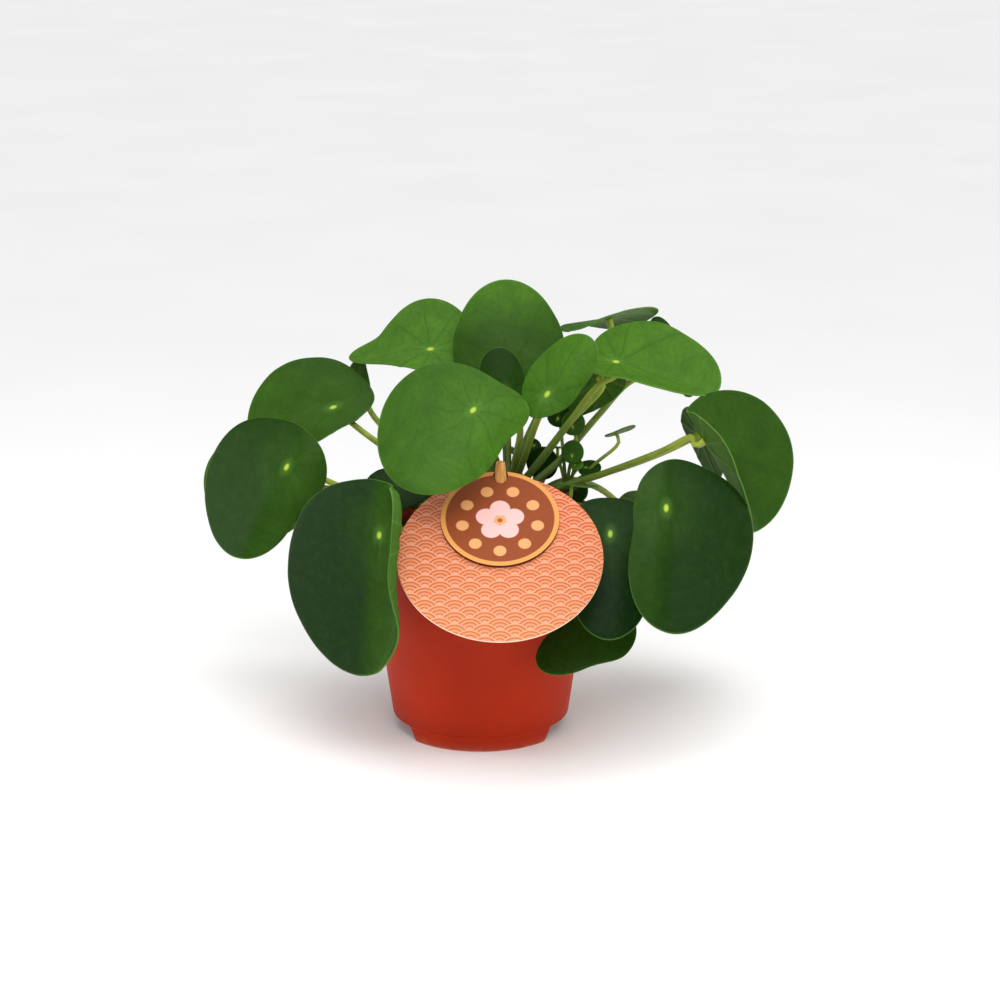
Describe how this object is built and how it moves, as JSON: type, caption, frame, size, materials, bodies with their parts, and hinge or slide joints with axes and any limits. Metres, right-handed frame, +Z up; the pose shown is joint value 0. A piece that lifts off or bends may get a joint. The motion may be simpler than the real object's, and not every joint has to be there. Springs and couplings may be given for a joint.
{
  "type": "potted chinese money plant",
  "caption": "House plant with round glossy leaves on long stalks, in a red plastic nursery pot, with a round card tag held over the rim by a wooden peg.",
  "frame": {"origin": "on the pot's axis, at the level of the surface that the pot stands on; it lies within 2 mm of the centre of the bounding box's base", "axes": "+Z up along the pot's axis; -Y is the front, where the tag leans over the rim; +X is to the right as seen from the front"},
  "size_m": [0.3078, 0.2139, 0.2246],
  "materials": {
    "pot": "satin moulded terracotta-red plastic",
    "soil": "damp crumbly potting soil",
    "stalk": "smooth yellow-green stalk",
    "leaf": "waxy green leaf",
    "pup": "waxy young leaf",
    "tag_card": "matte printed card",
    "coin_card": "matte printed card with a gold rim",
    "peg_wood": "bare light wood"
  },
  "bodies": {
    "root": {"pot": "pot", "soil": "soil", "stem": "stalk", "pup_back": "pup", "pup_centre": "pup", "pup_right": "pup", "blade_back_left": "leaf", "blade_back_low": "leaf", "blade_back_mid": "leaf", "blade_back_right": "leaf", "blade_back_top": "leaf", "blade_centre_big": "leaf", "blade_centre_bright": "leaf", "blade_centre_top": "leaf", "blade_centre_turned": "leaf", "blade_centre_young": "leaf", "blade_front_left": "leaf", "blade_left_hidden": "leaf", "blade_left_low": "leaf", "blade_left_mid": "leaf", "blade_left_shade": "leaf", "blade_left_top": "leaf", "blade_left_under": "leaf", "blade_right_behind": "leaf", "blade_right_dark": "leaf", "blade_right_edge": "leaf", "blade_right_far": "leaf", "blade_right_front": "leaf", "blade_right_low": "leaf", "blade_right_top": "leaf", "blade_right_turned": "leaf", "tag_disc": "tag_card", "coin_disc": "coin_card", "peg": "peg_wood"}
  },
  "joints": []
}
